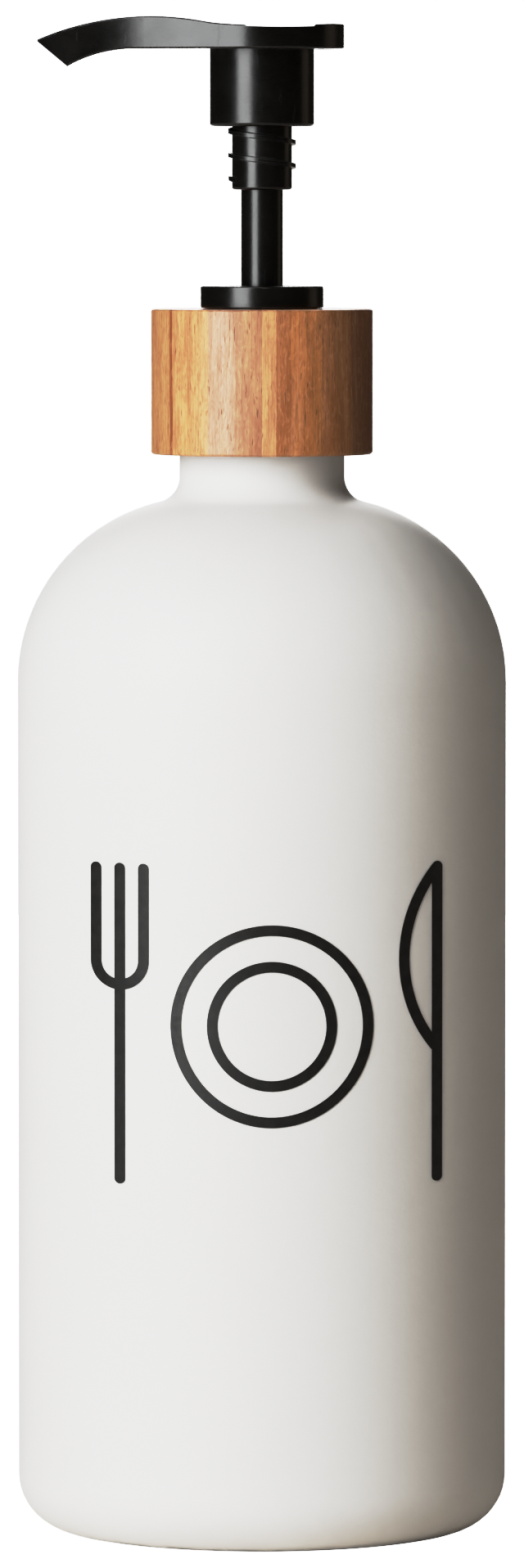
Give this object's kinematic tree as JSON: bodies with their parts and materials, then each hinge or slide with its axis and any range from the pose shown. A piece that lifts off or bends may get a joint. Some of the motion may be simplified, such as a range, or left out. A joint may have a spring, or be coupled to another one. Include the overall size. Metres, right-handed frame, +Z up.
{
  "type": "soap pump dispenser",
  "caption": "White coated round glass bottle with a wood-sleeved screw cap and a black lock-down lotion pump.",
  "frame": {"origin": "On the bottle's axis, in the plane that its base ring stands on.", "axes": "+Z is up along the bottle's axis. -X is where the spout points at rest. -Y is the front, with the printed mark."},
  "size_m": [0.075, 0.0751, 0.2326],
  "materials": {
    "coated_glass": "opaque white spray coat, satin",
    "black_print": "screen-printed ink, satin",
    "wood": "staves turned smooth, clear satin lacquer",
    "black_plastic": "injection-moulded polypropylene, satin",
    "natural_plastic": "translucent natural polypropylene",
    "foam": "closed-cell polyethylene foam",
    "stainless": "drawn stainless wire and polished ball"
  },
  "bodies": {
    "bottle": {"bottle": "coated_glass", "front_mark": "black_print"},
    "pump_body": {"pump_cylinder": "natural_plastic", "lock_ring": "black_plastic", "neck_gasket": "foam", "dip_tube": "natural_plastic", "return_spring": "stainless"},
    "closure": {"screw_cap": "black_plastic", "wood_collar": "wood"},
    "valve_rod": {"valve_rod": "natural_plastic"},
    "piston": {"piston": "natural_plastic"},
    "head": {"pump_head": "black_plastic", "stem": "black_plastic"},
    "inlet_ball": {"inlet_ball": "stainless"}
  },
  "joints": [
    {"name": "pump_lift", "type": "slide", "parent": "bottle", "child": "pump_body", "axis": [0, 0, 1], "range_m": [0, 0.0084]},
    {"name": "closure_turn", "type": "hinge", "parent": "pump_body", "child": "closure", "pos_m": [0, 0, 0.176], "axis": [0, 0, 1], "range_deg": [0, 720]},
    {"name": "pump_press", "type": "slide", "parent": "pump_body", "child": "valve_rod", "axis": [0, 0, 1], "range_m": [-0.0152, 0], "stiffness_N_per_m": 600, "springref_m": 0.01, "deforming": ["return_spring"]},
    {"name": "piston_slip", "type": "slide", "parent": "valve_rod", "child": "piston", "axis": [0, 0, 1], "range_m": [0, 0.0012]},
    {"name": "head_swivel", "type": "hinge", "parent": "valve_rod", "child": "head", "pos_m": [0, 0, 0.2], "axis": [0, 0, 1], "continuous": true},
    {"name": "inlet_ball_lift", "type": "slide", "parent": "pump_body", "child": "inlet_ball", "axis": [0, 0, 1], "range_m": [0, 0.0022]}
  ],
  "couplings": [
    {"joint": "closure_turn", "follows": "pump_lift", "rad_per_m": 1484.2}
  ]
}
